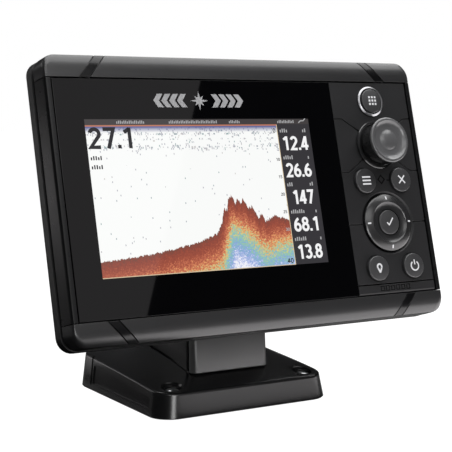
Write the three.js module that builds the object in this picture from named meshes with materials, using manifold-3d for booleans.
// A chartplotter: a display head with a keypad, tilting on a quick-release stem
// that stands on a screw-down base. Millimetres, +Z up, +X to the reader's right,
// front towards -Y. The origin lies under the stem's middle, where the base stands.
import * as THREE from 'three';
import { mergeVertices } from 'three/addons/utils/BufferGeometryUtils.js';
import Module from 'manifold-3d';

const wasm = await Module();
wasm.setup();

// ---------------------------------------------------------------- driving sizes
const GAP = 0.3; // clearance between pieces that touch on the real object
const rad = THREE.MathUtils.degToRad;

// The head has its own axes: h to the right, v up the face, w out of the screen.
const HEAD_TILT = rad(14.4);
const HEAD_PLACE = [-1.3, -53.3, 97.6]; // middle of the face
const SEAM_V = 49.6; // where the face meets the top and bottom trims
const RIM_H = 89.1; // where the face meets the side rims
const FRONT_DEPTH = -8.3; // back edge of the front mouldings
const REAR_FRONT = -10.8; // front edge of the rear cover
const REAR_BACK = -46; // back plane of the rear cover
const WALL = 2.4;

// Face layout
const SCREEN = { h: -22.6, v: -0.4, width: 108, height: 64.8 };
const PANEL_H = 45.4; // where the glass meets the keypad
const DOOR_TOP = -44.4;
const FACE_THICK = 2.3;
const CHASSIS = { h: 89.5, v: 56.7, top: -2.6, thick: 2.3 };

// Keypad
const KEY_COLUMN = 67.3;
const KEY_OFFSET = 10;
const KEY = { cap: 5.5, flange: 6.6, height: 1.9, hole: 5.9 };
const ENTER = { cap: 5.5, flange: 6.4 };
const KEYS = [
  { name: 'pages_key', h: KEY_COLUMN, v: 40.1 },
  { name: 'menu_key', h: KEY_COLUMN - KEY_OFFSET, v: 2.7 },
  { name: 'exit_key', h: KEY_COLUMN + KEY_OFFSET, v: 2.7 },
  { name: 'waypoint_key', h: KEY_COLUMN - KEY_OFFSET, v: -37.4 },
  { name: 'power_key', h: KEY_COLUMN + KEY_OFFSET, v: -37.4 },
];
const PAD = { h: KEY_COLUMN, v: -16.8, outer: 13, inner: 6.1, well: 14.45, hole: 13.5 };
const KNOB = { h: KEY_COLUMN, v: 19.5, cap: 10.45, skirt: 9.2, bottom: 1.3, top: 10.6 };
const COLLAR = { outer: 11.2, inner: 9.8 };
const SHAFT = 3.0;
const MAT = { top: -4.9, bottom: -6.0 };
const BOARD = { top: -6.4, bottom: -7.9 };

// Stem and tilt hinge
const AXIS = { y: -2, z: 70 }; // tilt axle, along X
const BARREL = 10;
const STEM_HALF = 19.9;
const AXLE = 3.5;
const LUG = { inner: 20.4, outer: 26.5, radius: 9.5 };
const PLATE = { front: -28.1, thick: 3.8, bottom: 15.2, top: 39, lean: rad(3.6), corner: 3 };

// Base
const BASE = { halfWidth: 44.6, front: -43.6, back: 47.4, corner: 10, flare: 1.5 };
const BASE_MIDDLE = (BASE.front + BASE.back) / 2;
const BASE_SCREW = { x: 34, y: 36.4, head: 3.6, shank: 2, well: 4.6, sink: 3.4, boss: 6.4 };
const BASE_FLOOR = 0.2;
const BASE_WALL = 2.6;

// ---------------------------------------------------------------- solid helpers
function solid(geometry) {
  const bare = geometry.index ? geometry.clone() : geometry;
  bare.deleteAttribute('normal');
  bare.deleteAttribute('uv');
  const merged = mergeVertices(bare, 1e-4);
  return new wasm.Manifold(new wasm.Mesh({
    numProp: 3,
    vertProperties: new Float32Array(merged.attributes.position.array),
    triVerts: new Uint32Array(merged.index.array),
  }));
}

function geometryOf(body) {
  const mesh = body.getMesh();
  const geometry = new THREE.BufferGeometry();
  geometry.setAttribute('position', new THREE.BufferAttribute(mesh.vertProperties, 3));
  geometry.setIndex(new THREE.BufferAttribute(mesh.triVerts, 1));
  geometry.computeVertexNormals();
  return geometry;
}

const cut = (body, ...tools) => tools.reduce((left, tool) => left.subtract(tool), body);
const join = (body, ...others) => others.reduce((whole, other) => whole.add(other), body);

function box(x0, x1, y0, y1, z0, z1) {
  const geometry = new THREE.BoxGeometry(x1 - x0, y1 - y0, z1 - z0);
  return solid(geometry.translate((x0 + x1) / 2, (y0 + y1) / 2, (z0 + z1) / 2));
}

// A cylinder along Z.
function disc(x, y, radius, z0, z1, segments = 32) {
  const geometry = new THREE.CylinderGeometry(radius, radius, z1 - z0, segments);
  return solid(geometry.rotateX(Math.PI / 2).translate(x, y, (z0 + z1) / 2));
}

// A cylinder along X.
function rod(x0, x1, y, z, radius, segments = 32) {
  const geometry = new THREE.CylinderGeometry(radius, radius, x1 - x0, segments);
  return solid(geometry.rotateZ(Math.PI / 2).translate((x0 + x1) / 2, y, z));
}

// A turned body about Z from [radius, z] points that start and end on the axis.
function turned(x, y, profile, segments = 32) {
  const points = profile.map(([radius, z]) => new THREE.Vector2(radius, z));
  const geometry = new THREE.LatheGeometry(points, segments);
  return solid(geometry.rotateX(Math.PI / 2).translate(x, y, 0));
}

function ring(x, y, outer, inner, z0, z1, segments = 32) {
  return cut(disc(x, y, outer, z0, z1, segments), disc(x, y, inner, z0 - 1, z1 + 1, segments));
}

// A closed polygon in the (first, second) plane, pushed along the third axis.
function prism(points, from, to) {
  const shape = new THREE.Shape(points.map(([x, y]) => new THREE.Vector2(x, y)));
  const geometry = new THREE.ExtrudeGeometry(shape, { depth: to - from, bevelEnabled: false });
  return solid(geometry.translate(0, 0, from));
}

// A (y, z) outline pushed along X.
function slab(points, x0, x1) {
  const shape = new THREE.Shape(points.map(([y, z]) => new THREE.Vector2(y, z)));
  const geometry = new THREE.ExtrudeGeometry(shape, { depth: x1 - x0, bevelEnabled: false });
  // the extrusion's x, y, z become y, z, x
  geometry.applyMatrix4(new THREE.Matrix4().set(0, 0, 1, x0, 1, 0, 0, 0, 0, 1, 0, 0, 0, 0, 0, 1));
  return solid(geometry);
}

// The points of a rectangle with rounded corners, counter-clockwise.
function roundedOutline(left, right, bottom, top, radius, steps = 4) {
  const corners = [
    [right - radius, bottom + radius, -90],
    [right - radius, top - radius, 0],
    [left + radius, top - radius, 90],
    [left + radius, bottom + radius, 180],
  ];
  return corners.flatMap(([x, y, start]) => Array.from({ length: steps + 1 }, (_, i) => {
    const angle = rad(start + (90 * i) / steps);
    return [x + radius * Math.cos(angle), y + radius * Math.sin(angle)];
  }));
}

// A closed skin over rings of equally many [x, y, z] points, from the top ring down.
function skin(rings) {
  const count = rings[0].length;
  const positions = rings.flat(2);
  const index = [];
  for (let r = 0; r + 1 < rings.length; r++) {
    for (let i = 0; i < count; i++) {
      const a = r * count + i;
      const b = r * count + ((i + 1) % count);
      index.push(a, a + count, b + count, a, b + count, b);
    }
  }
  const caps = [[rings[0], 0, 1], [rings.at(-1), (rings.length - 1) * count, -1]];
  for (const [ringPoints, offset, side] of caps) {
    const middle = positions.length / 3;
    const mean = [0, 1, 2].map((k) => ringPoints.reduce((sum, p) => sum + p[k], 0) / count);
    positions.push(...mean);
    for (let i = 0; i < count; i++) {
      const a = offset + i;
      const b = offset + ((i + 1) % count);
      index.push(...(side > 0 ? [middle, a, b] : [middle, b, a]));
    }
  }
  const geometry = new THREE.BufferGeometry();
  geometry.setAttribute('position', new THREE.Float32BufferAttribute(positions, 3));
  geometry.setIndex(index);
  return solid(geometry);
}

// A body through rounded rectangles, listed from the front to the back.
// Each section is [w, half width, top, bottom, corner radius].
function loft(sections, inset = 0) {
  return skin(sections.map(([w, half, top, bottom, radius]) => (
    roundedOutline(-half + inset, half - inset, bottom + inset, top - inset, Math.max(radius - inset, 0.5))
      .map(([x, y]) => [x, y, w]))));
}

// ---------------------------------------------------------------- scene graph
const chartplotter = new THREE.Group();
const head = new THREE.Group();
head.position.set(...HEAD_PLACE);
head.rotation.x = Math.PI / 2 - HEAD_TILT;
chartplotter.add(head);

const FINISH = {
  housing: { color: 0x1c1c1e, roughness: 0.45, metalness: 0 },
  gloss: { color: 0x0b0b0c, roughness: 0.12, metalness: 0 },
  glass: { color: 0x101012, roughness: 0.05, metalness: 0 },
  key: { color: 0x3a3a3c, roughness: 0.4, metalness: 0 },
  rubber: { color: 0x151515, roughness: 0.85, metalness: 0 },
  steel: { color: 0xb4b6b8, roughness: 0.3, metalness: 1 },
  board: { color: 0x1d4a2c, roughness: 0.6, metalness: 0 },
  brass: { color: 0xb98d3a, roughness: 0.35, metalness: 1 },
  plate: { color: 0x58585a, roughness: 0.4, metalness: 0 },
  screen: { color: 0xd8dcdc, roughness: 0.3, metalness: 0 },
};

function place(group, name, body, finish) {
  const mesh = new THREE.Mesh(geometryOf(body), new THREE.MeshStandardMaterial(FINISH[finish]));
  mesh.name = name;
  group.add(mesh);
}

// ---------------------------------------------------------------- head casing
// The front moulding rolls over to the top and bottom and flares a little backwards.
const FRONT_SECTIONS = [
  [0.5, 90.6, 50.6, -50.6, 1.5],
  [0.4, 91.1, 53.6, -53.6, 2.5],
  [0, 91.4, 56.4, -56.4, 4],
  [-0.9, 91.7, 58.6, -58.6, 5.5],
  [-2.2, 91.9, 59.4, -59.4, 6],
  [FRONT_DEPTH, 92.7, 59.7, -59.7, 6.5],
];

const REAR_SECTIONS = [
  [REAR_FRONT, 92.8, 59.7, -59.7, 6.5],
  [-15, 93.2, 59.9, -59.9, 6.5],
  [-18, 89, 55.5, -54, 9],
  [-31, 86, 52.5, -42.2, 10],
  [-43, 80, 47, -31, 12],
  [REAR_BACK, 75, 42, -27, 12],
];

// A flat rounded frame: an outline, its width inwards, and its back and front levels.
function frameRing([half, top, bottom, radius], width, w0, w1) {
  const outside = [[w1, half, top, bottom, radius], [w0, half, top, bottom, radius]];
  const inside = [[w1 + 1, half, top, bottom, radius], [w0 - 1, half, top, bottom, radius]];
  return cut(loft(outside), loft(inside, width));
}

// Each glossy inlay is a slanted band across its trim, from the seam to the outer edge.
const INLAY = {
  seamIn: 73, seamOut: 77.4, edgeIn: 62.4, edgeOut: 66.4, edgeV: 60.2, thick: 0.7, pocket: 1,
};

function inlayBand(side, up, margin) {
  const points = [
    [INLAY.seamIn - margin, SEAM_V - 1],
    [INLAY.seamOut + margin, SEAM_V - 1],
    [INLAY.edgeOut + margin, INLAY.edgeV + 1],
    [INLAY.edgeIn - margin, INLAY.edgeV + 1],
  ].map(([h, v]) => [side * h, up * v]);
  return prism(side * up > 0 ? points : points.reverse(), -12, 3);
}

const frontBody = loft(FRONT_SECTIONS);

function trim(up) {
  const keep = up > 0
    ? box(-100, 100, SEAM_V, 70, -20, 5)
    : box(-100, 100, -70, -SEAM_V, -20, 5);
  const hollow = box(-CHASSIS.h - GAP, CHASSIS.h + GAP, -CHASSIS.v - GAP, CHASSIS.v + GAP, -20, -2.3);
  return cut(frontBody.intersect(keep), hollow);
}

// The front moulding's roll in (v, w), moved inwards by a depth.
const ROLL = FRONT_SECTIONS.slice(0, 5).map(([w, , top]) => [top, w]);

function rollInside(depth) {
  return ROLL.map(([v, w], i) => {
    const [v0, w0] = ROLL[Math.max(i - 1, 0)];
    const [v1, w1] = ROLL[Math.min(i + 1, ROLL.length - 1)];
    const length = Math.hypot(v1 - v0, w1 - w0);
    return [v + (depth * (w1 - w0)) / length, w - (depth * (v1 - v0)) / length];
  });
}

function alongTrim(points, up) {
  const outline = points.map(([v, w]) => [up * v, w]);
  return slab(outline, -80, 80);
}

// A shallow glossy strip let into the trim's front skin, and the pocket it lies in.
function inlay(side, up) {
  const back = rollInside(INLAY.thick);
  const first = SEAM_V + 0.1;
  const outline = [[first, ROLL[0][1]], ...ROLL, ...back.reverse(), [first, ROLL[0][1] - INLAY.thick]];
  return alongTrim(outline, up).intersect(inlayBand(side, up, 0));
}

function inlayPocket(side, up) {
  const floor = rollInside(INLAY.pocket);
  const [lastV, lastW] = floor.at(-1);
  const outline = [[45, 4], [66, 4], [66, lastW - GAP], [lastV, lastW - GAP],
    ...floor.reverse(), [45, ROLL[0][1] - INLAY.pocket]];
  return alongTrim(outline, up).intersect(inlayBand(side, up, GAP));
}

for (const [name, up] of [['top', 1], ['bottom', -1]]) {
  place(head, `${name}_trim`, cut(trim(up), inlayPocket(-1, up), inlayPocket(1, up)), 'housing');
  place(head, `${name}_left_inlay`, inlay(-1, up), 'gloss');
  place(head, `${name}_right_inlay`, inlay(1, up), 'gloss');
}

const LCD = { halfH: 59, halfV: 38, front: -2.6, back: -7 };
const GUIDE = { h0: 47, h1: 87.6, v0: -44.3, v1: 47.5 }; // opening behind the keypad
const CARD_SLOT = { h0: 57, h1: 78, v0: -48.6, v1: -45.4 };

function frontBezel() {
  const middle = frontBody.intersect(box(-100, 100, -SEAM_V + GAP, SEAM_V - GAP, -20, 5));
  const sides = cut(middle, box(-RIM_H, RIM_H, -60, 60, -20, 5));
  const webBack = CHASSIS.top - CHASSIS.thick;
  const web = box(-CHASSIS.h, CHASSIS.h, -CHASSIS.v, CHASSIS.v, webBack, CHASSIS.top);
  const walls = cut(
    box(-CHASSIS.h, CHASSIS.h, -CHASSIS.v, CHASSIS.v, FRONT_DEPTH, CHASSIS.top),
    box(-CHASSIS.h + WALL, CHASSIS.h - WALL, -CHASSIS.v + WALL, CHASSIS.v - WALL, -20, 5),
  );
  const lcdWindow = box(
    SCREEN.h - LCD.halfH - GAP, SCREEN.h + LCD.halfH + GAP,
    SCREEN.v - LCD.halfV - GAP, SCREEN.v + LCD.halfV + GAP, -20, 5,
  );
  const keyWindow = box(GUIDE.h0, GUIDE.h1, GUIDE.v0, GUIDE.v1, -20, 5);
  const cardWindow = box(CARD_SLOT.h0, CARD_SLOT.h1, CARD_SLOT.v0, CARD_SLOT.v1, -20, 5);
  return cut(join(sides, web, walls), lcdWindow, keyWindow, cardWindow);
}

function displayGlass() {
  return box(-RIM_H + 0.2, PANEL_H - 0.15, -SEAM_V + 0.2, SEAM_V - 0.2, -FACE_THICK, 0);
}

function lcdPanel() {
  return box(
    SCREEN.h - LCD.halfH, SCREEN.h + LCD.halfH,
    SCREEN.v - LCD.halfV, SCREEN.v + LCD.halfV, LCD.back, LCD.front,
  );
}

place(head, 'front_bezel', frontBezel(), 'housing');
place(head, 'display_glass', displayGlass(), 'glass');
place(head, 'lcd_panel', lcdPanel(), 'screen');

// The rubber seal between the front moulding and the rear cover.
const SEAL = [91.6, 58.7, -58.7, 6];
const SEAL_WIDTH = 3;
place(head, 'case_seal', frameRing(SEAL, SEAL_WIDTH, REAR_FRONT + GAP, FRONT_DEPTH - GAP), 'rubber');

// ---------------------------------------------------------------- rear cover
const CASE_SCREWS = [
  { name: 'left_top', h: -80, v: 44 },
  { name: 'right_top', h: 80, v: 44 },
  { name: 'left_bottom', h: -78, v: -34 },
  { name: 'right_bottom', h: 78, v: -34 },
];
const CASE_SCREW = { head: 3.1, shank: 1.5, well: 4, boss: 6.1, seat: -22, tip: -12 };
const POWER_SOCKET = { h: 50, v: 24 };
const SONAR_SOCKET = { h: 50, v: -2 };
const SOCKET = { radius: 8.6, bore: 6.4, flange: 10.4, hole: 8.9, lip: -56 };
const SHOE = { half: 36, low: 0, high: 24, front: REAR_BACK - GAP, back: -50.5 };
const SHOE_H = -HEAD_PLACE[0]; // the shoe is centred on the stem
const SHOE_SCREWS = [-31, 31];
const SHOE_SCREW_V = 12;

function rearCover() {
  const outer = loft(REAR_SECTIONS);
  const inner = loft(REAR_SECTIONS.map(([w, half, top, bottom, radius]) => (
    [w === REAR_FRONT ? 0 : w + WALL, half, top, bottom, radius])), WALL);
  const columns = CASE_SCREWS.map(({ h, v }) => (
    disc(h, v, CASE_SCREW.boss, -45, REAR_FRONT, 20).intersect(outer)));
  const shell = join(cut(outer, inner), ...columns);
  const screwWells = CASE_SCREWS.flatMap(({ h, v }) => [
    disc(h, v, CASE_SCREW.well, -60, CASE_SCREW.seat, 20),
    disc(h, v, CASE_SCREW.shank + GAP, -60, 5, 12),
  ]);
  const sockets = [POWER_SOCKET, SONAR_SOCKET].map(({ h, v }) => disc(h, v, SOCKET.hole, -60, -30, 24));
  const shoeHoles = SHOE_SCREWS.map((h) => disc(h + SHOE_H, SHOE_SCREW_V, 1.8, -60, -30, 12));
  return cut(shell, ...screwWells, ...sockets, ...shoeHoles);
}

// A pan-head screw pointing along +w, its recess left to the finish.
function screw(x, y, head, shank, seat, depth, tip, segments = 16) {
  return turned(x, y, [
    [0, seat - depth],
    [head * 0.75, seat - depth],
    [head, seat - depth * 0.55],
    [head, seat],
    [shank, seat],
    [shank, tip - shank * 0.6],
    [0, tip],
  ], segments);
}

place(head, 'rear_cover', rearCover(), 'housing');
for (const { name, h, v } of CASE_SCREWS) {
  const { head: headRadius, shank, seat, tip } = CASE_SCREW;
  place(head, `case_screw_${name}`, screw(h, v, headRadius, shank, seat - GAP, 2.2, tip), 'steel');
}

// Sockets: a flanged barrel with a blind bore towards the back.
function socket({ h, v }) {
  const flange = REAR_BACK + WALL + GAP;
  const barrel = turned(h, v, [
    [0, SOCKET.lip],
    [SOCKET.radius, SOCKET.lip],
    [SOCKET.radius, flange],
    [SOCKET.flange, flange],
    [SOCKET.flange, flange + 2],
    [0, flange + 2],
  ], 24);
  const keyway = box(h - 1.2, h + 1.2, v + SOCKET.bore - 1, v + SOCKET.bore + 1, SOCKET.lip - 1, flange - 1);
  return cut(barrel, disc(h, v, SOCKET.bore, SOCKET.lip - 1, flange - 1, 24), keyway);
}

function pinInsert({ h, v }, pins) {
  const flange = REAR_BACK + WALL + GAP;
  const floor = flange - 1 - GAP;
  const core = disc(h, v, SOCKET.bore - 1.6, floor - 1.4, floor, 20);
  const circle = Array.from({ length: pins }, (_, i) => {
    const angle = (2 * Math.PI * (i + 0.5)) / pins;
    return disc(h + 2.9 * Math.cos(angle), v + 2.9 * Math.sin(angle), 0.6, floor - 5.4, floor - 1, 8);
  });
  return join(core, ...circle);
}

place(head, 'power_socket', socket(POWER_SOCKET), 'housing');
place(head, 'power_pins', pinInsert(POWER_SOCKET, 4), 'brass');
place(head, 'sonar_socket', socket(SONAR_SOCKET), 'housing');
place(head, 'sonar_pins', pinInsert(SONAR_SOCKET, 7), 'brass');

// ---------------------------------------------------------------- bracket shoe
// The axle in head axes.
const axleBehind = AXIS.y - HEAD_PLACE[1];
const axleAbove = AXIS.z - HEAD_PLACE[2];
const AXLE_V = axleBehind * Math.sin(HEAD_TILT) + axleAbove * Math.cos(HEAD_TILT);
const AXLE_W = -axleBehind * Math.cos(HEAD_TILT) + axleAbove * Math.sin(HEAD_TILT);

function lug(x0, x1) {
  const steps = 10;
  const arc = Array.from({ length: steps + 1 }, (_, i) => {
    const angle = rad(180 + (180 * i) / steps);
    return [AXLE_V + LUG.radius * Math.cos(angle), AXLE_W + LUG.radius * Math.sin(angle)];
  });
  const high = SHOE.high - 3;
  return slab([...arc, [high, SHOE.back - 1], [high, SHOE.front - 1],
    [AXLE_V + LUG.radius + 4, SHOE.front], [AXLE_V - LUG.radius, SHOE.front]], x0, x1);
}

function bracketShoe() {
  const plate = box(-SHOE.half, SHOE.half, SHOE.low, SHOE.high, SHOE.back, SHOE.front);
  const lugs = [lug(LUG.inner, LUG.outer), lug(-LUG.outer, -LUG.inner)];
  const bores = rod(-40, 40, AXLE_V, AXLE_W, AXLE + 0.05, 24);
  const shoeHoles = SHOE_SCREWS.map((h) => disc(h, SHOE_SCREW_V, 1.8, -60, -30, 12));
  const shoeWells = SHOE_SCREWS.map((h) => disc(h, SHOE_SCREW_V, 3.6, -60, SHOE.front - 2, 16));
  return cut(join(plate, ...lugs), bores, ...shoeHoles, ...shoeWells);
}

const shoe = new THREE.Group();
shoe.position.x = SHOE_H;
head.add(shoe);
place(shoe, 'bracket_shoe', bracketShoe(), 'housing');
for (const [index, side] of ['left', 'right'].entries()) {
  const seat = SHOE.front - 2 - GAP;
  place(shoe, `shoe_screw_${side}`, screw(SHOE_SCREWS[index], SHOE_SCREW_V, 2.9, 1.4, seat, 1.8, -40), 'steel');
}

// ---------------------------------------------------------------- keypad
function keypadPanel() {
  const plate = box(PANEL_H + 0.15, RIM_H - 0.2, DOOR_TOP + 0.15, SEAM_V - 0.2, -FACE_THICK, 0);
  const keyHoles = KEYS.map(({ h, v }) => disc(h, v, KEY.hole, -5, 1, 32));
  const padHole = disc(PAD.h, PAD.v, PAD.hole, -5, 1, 40);
  const padWell = turned(PAD.h, PAD.v, [
    [0, -0.9], [PAD.hole, -0.9], [PAD.well, 0], [PAD.well, 1], [0, 1],
  ], 40);
  const shaftHole = disc(KNOB.h, KNOB.v, 5.2, -5, 1, 24);
  return cut(plate, ...keyHoles, padHole, padWell, shaftHole);
}

// A key: a domed cap on a flange that the panel holds in.
function key({ h, v }, size) {
  const flangeTop = -FACE_THICK - GAP;
  const flangeBottom = flangeTop - 1;
  return turned(h, v, [
    [0, flangeBottom],
    [size.flange, flangeBottom],
    [size.flange, flangeTop],
    [size.cap, flangeTop],
    [size.cap, KEY.height - 0.7],
    [size.cap - 0.6, KEY.height],
    [size.cap * 0.5, KEY.height + 0.45],
    [0, KEY.height + 0.6],
  ], 24);
}

place(head, 'keypad_panel', keypadPanel(), 'housing');
for (const one of KEYS) {
  place(head, one.name, key(one, KEY), 'key');
}
place(head, 'enter_key', key(PAD, ENTER), 'key');

// The four-way pad is a dished ring that rocks on a second, hidden ring.
function cursorPad() {
  const body = turned(PAD.h, PAD.v, [
    [0, -1.6],
    [PAD.outer, -1.6],
    [PAD.outer, 0.9],
    [PAD.outer - 0.7, 1.5],
    [PAD.outer - 3.6, 1.1],
    [PAD.outer - 4.2, 0.5],
    [PAD.inner + 0.6, 0.2],
    [0, 0.2],
  ], 40);
  return cut(body, disc(PAD.h, PAD.v, PAD.inner, -5, 5, 40));
}

place(head, 'cursor_pad', cursorPad(), 'key');
place(head, 'pad_rocker', ring(PAD.h, PAD.v, 10.5, 7.5, -3.4, -2.1), 'key');
place(head, 'pages_collar', ring(KEYS[0].h, KEYS[0].v, 7.1, 6.1, GAP, 0.9), 'steel');

// ---------------------------------------------------------------- rotary knob
function rotaryKnob() {
  const body = turned(KNOB.h, KNOB.v, [
    [0, KNOB.bottom],
    [KNOB.skirt, KNOB.bottom],
    [KNOB.skirt, 7.6],
    [KNOB.cap, 8.4],
    [KNOB.cap, KNOB.top - 0.7],
    [KNOB.cap - 0.8, KNOB.top],
    [4.8, KNOB.top - 1],
    [4.3, KNOB.top - 0.7],
    [0, KNOB.top - 0.2],
  ], 40);
  return cut(body, disc(KNOB.h, KNOB.v, SHAFT + 0.05, KNOB.bottom - 1, 7.5, 24));
}

place(head, 'knob_collar', ring(KNOB.h, KNOB.v, COLLAR.outer, COLLAR.inner, GAP, 1.1, 40), 'gloss');
place(head, 'rotary_knob', rotaryKnob(), 'key');
place(head, 'encoder_shaft', disc(KNOB.h, KNOB.v, SHAFT, -5, 7.2, 24), 'steel');
place(head, 'encoder_body', cut(
  box(KNOB.h - 6, KNOB.h + 6, KNOB.v - 6, KNOB.v + 6, BOARD.top + GAP, -FACE_THICK - GAP),
  disc(KNOB.h, KNOB.v, SHAFT + 0.05, -5.9, 5, 24),
), 'steel');

// The silicone mat lies on the keypad board, with a hole for the encoder.
const matOutline = [GUIDE.h0 + 0.5, GUIDE.h1 - 0.5, GUIDE.v0 + 0.5, GUIDE.v1 - 0.5];
place(head, 'keypad_mat', cut(
  box(...matOutline, MAT.bottom, MAT.top),
  box(KNOB.h - 7, KNOB.h + 7, KNOB.v - 7, KNOB.v + 7, -8, 0),
), 'rubber');
place(head, 'keypad_board', box(...matOutline, BOARD.bottom, BOARD.top), 'board');
const MAIN_BOARD = { h0: -70, h1: 58, v0: -38, v1: 44, back: -14, front: -12.4 };
place(head, 'main_board', box(
  MAIN_BOARD.h0, MAIN_BOARD.h1, MAIN_BOARD.v0, MAIN_BOARD.v1, MAIN_BOARD.back, MAIN_BOARD.front,
), 'board');

// ---------------------------------------------------------------- card door
const DOOR_PIN = { v: -48.2, w: -1.15, radius: 1.1 };

function cardDoor() {
  const halfLength = (RIM_H - PANEL_H) / 2 - 0.2;
  const middle = (RIM_H + PANEL_H) / 2;
  const leaf = box(middle - halfLength, middle + halfLength, DOOR_PIN.v, DOOR_TOP - 0.15, -FACE_THICK, 0);
  const barrel = rod(middle - halfLength, middle + halfLength, DOOR_PIN.v, DOOR_PIN.w, 1.15, 16);
  return join(leaf, barrel);
}

place(head, 'card_door', cardDoor(), 'housing');

// The reader behind the door: a thin sleeve, open towards the front.
function cardReader() {
  const { h0, h1, v0, v1 } = CARD_SLOT;
  const sleeve = box(h0 + 1, h1 - 1, v0 + 0.2, v1 - 0.2, -15, -2.9);
  return cut(sleeve, box(h0 + 4, h1 - 4, v0 + 1, v1 - 0.8, -13.5, 0));
}

place(head, 'card_reader', cardReader(), 'steel');

// ---------------------------------------------------------------- stem
function stemOutline() {
  const steps = 12;
  const arc = Array.from({ length: steps + 1 }, (_, i) => {
    const angle = rad(180 - (180 * i) / steps);
    return [AXIS.y + BARREL * Math.cos(angle), AXIS.z + BARREL * Math.sin(angle)];
  });
  return [
    [-22.1, 5], [-22.1, 40], [-12, 54.5], ...arc, [8.5, 62], [13, 44], [22, 21], [22, 5],
  ].reverse();
}

function stem() {
  const body = slab(stemOutline(), -STEM_HALF, STEM_HALF);
  const hollow = slab([
    [-18.5, 0], [18.5, 0], [18.5, 20], [10, 42], [4, 52], [-8, 52], [-18.5, 38],
  ], -STEM_HALF + 3, STEM_HALF - 3);
  const bore = rod(-40, 40, AXIS.y, AXIS.z, AXLE + 0.05, 24);
  const guide = box(-8.4, 8.4, -40, -15, 23.6, 32.4);
  return cut(body, hollow, bore, guide);
}

// The release plate in front of the stem, with a boss that runs in the stem's guide.
function releasePlate() {
  const outline = roundedOutline(-STEM_HALF, STEM_HALF, PLATE.front, PLATE.front + 12, PLATE.corner, 5);
  const slope = Math.tan(PLATE.lean);
  const levels = [PLATE.top, PLATE.bottom].map((z) => outline.map(([x, y]) => (
    [x, y + slope * (z - PLATE.bottom), z])));
  const back = PLATE.front + PLATE.thick;
  const face = cut(skin(levels), box(-30, 30, back, 20, 0, 60));
  return join(face, box(-8, 8, back - 0.5, -12, 24, 32));
}

place(chartplotter, 'stem', stem(), 'housing');
place(chartplotter, 'release_plate', releasePlate(), 'plate');
place(chartplotter, 'lock_bar', box(-12, 12, -11.7, -9.2, 24, 45.5), 'steel');
place(chartplotter, 'tilt_axle', rod(-30, 30, AXIS.y, AXIS.z, AXLE, 24), 'steel');
for (const [name, side] of [['left', -1], ['right', 1]]) {
  const near = side * (LUG.outer + GAP);
  const far = side * (LUG.outer + 2.6);
  const washer = cut(
    rod(Math.min(near, far), Math.max(near, far), AXIS.y, AXIS.z, 6.5, 20),
    rod(-40, 40, AXIS.y, AXIS.z, AXLE + 0.05, 24),
  );
  place(chartplotter, `axle_clip_${name}`, washer, 'steel');
}

// ---------------------------------------------------------------- base
// Height of the base's top: it rises from the front edge and is crowned across.
const BASE_FRONT_HEIGHT = 10.2;
const BASE_EDGE_RISE = 6.2;

function baseTop(x, y) {
  const along = Math.max((y - BASE.front) / (BASE.back - BASE.front), 0);
  const edge = BASE_FRONT_HEIGHT + BASE_EDGE_RISE * along ** 0.6;
  const fallAway = 1 - 0.9 * (Math.max(along - 0.75, 0) / 0.25) ** 2;
  const crown = (8 * (1 - Math.exp(-1.4 * along)) + 3 * along) * fallAway;
  const across = Math.min(Math.abs(x) / (BASE.halfWidth - BASE.flare), 1);
  return edge + crown * (1 - across ** 4);
}

function baseRing(scale, height) {
  const { halfWidth, front, back, corner } = BASE;
  return roundedOutline(-halfWidth, halfWidth, front, back, corner, 5)
    .map(([x, y]) => [x * scale, BASE_MIDDLE + (y - BASE_MIDDLE) * scale])
    .map(([x, y]) => [x, y, height(x, y)]);
}

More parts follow.
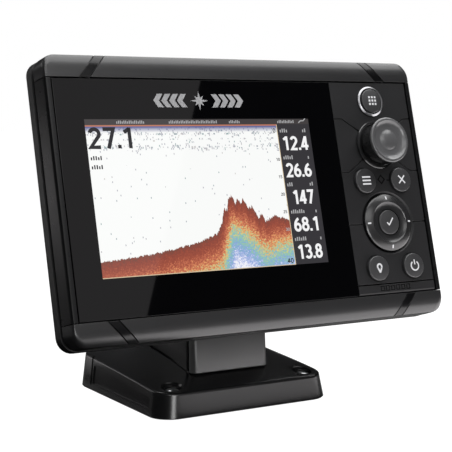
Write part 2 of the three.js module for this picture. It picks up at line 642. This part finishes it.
function baseShell(inset, drop) {
  const rings = [];
  for (const scale of [0.15, 0.35, 0.55, 0.72, 0.86, 0.95]) {
    rings.push(baseRing(scale * (1 - inset / BASE.halfWidth), (x, y) => baseTop(x, y) - drop));
  }
  rings.push(baseRing(1 - (inset + BASE.flare) / BASE.halfWidth, (x, y) => baseTop(x, y) - drop));
  rings.push(baseRing(1 - inset / BASE.halfWidth, () => (inset ? -5 : BASE_FLOOR)));
  return skin(rings);
}

const BASE_SCREWS = [
  { name: 'front_left', x: -1, y: -1 },
  { name: 'front_right', x: 1, y: -1 },
  { name: 'rear_left', x: -1, y: 1 },
  { name: 'rear_right', x: 1, y: 1 },
].map(({ name, x, y }) => {
  const place = { name, x: x * BASE_SCREW.x, y: BASE_MIDDLE + y * BASE_SCREW.y };
  return { ...place, seat: baseTop(place.x, place.y) - BASE_SCREW.sink };
});

function baseHousing() {
  const shell = cut(baseShell(0, 0), baseShell(BASE_WALL, BASE_WALL));
  const inside = baseShell(0.5, 0.5);
  const bosses = BASE_SCREWS.map(({ x, y }) => disc(x, y, BASE_SCREW.boss, 2.4, 24, 20).intersect(inside));
  const wells = BASE_SCREWS.flatMap(({ x, y, seat }) => [
    disc(x, y, BASE_SCREW.well, seat, 40, 24),
    disc(x, y, BASE_SCREW.shank + GAP, -5, 40, 12),
  ]);
  const side = STEM_HALF + 0.4;
  const stemHole = box(-side, side, -22.4, 22.3, 6, 40);
  const plateWell = box(-side, side, PLATE.front - 0.4, -22, PLATE.bottom - 0.6, 40);
  return cut(join(shell, ...bosses), ...wells, stemHole, plateWell);
}

function basePad() {
  const outline = roundedOutline(-38, 38, BASE.front + 5, BASE.back - 5, 7, 4);
  const sheet = prism(outline, 0, 2);
  return cut(sheet, ...BASE_SCREWS.map(({ x, y }) => disc(x, y, BASE_SCREW.shank + GAP, -1, 3, 12)));
}

place(chartplotter, 'base_housing', baseHousing(), 'gloss');
place(chartplotter, 'base_pad', basePad(), 'rubber');
for (const { name, x, y, seat } of BASE_SCREWS) {
  const body = turned(x, y, [
    [0, 0.4], [BASE_SCREW.shank, 1.8], [BASE_SCREW.shank, seat + GAP],
    [BASE_SCREW.head, seat + GAP], [BASE_SCREW.head, seat + 1.6],
    [BASE_SCREW.head * 0.7, seat + 2.4], [0, seat + 2.7],
  ], 16);
  place(chartplotter, `base_screw_${name}`, body, 'steel');
}

export default chartplotter;
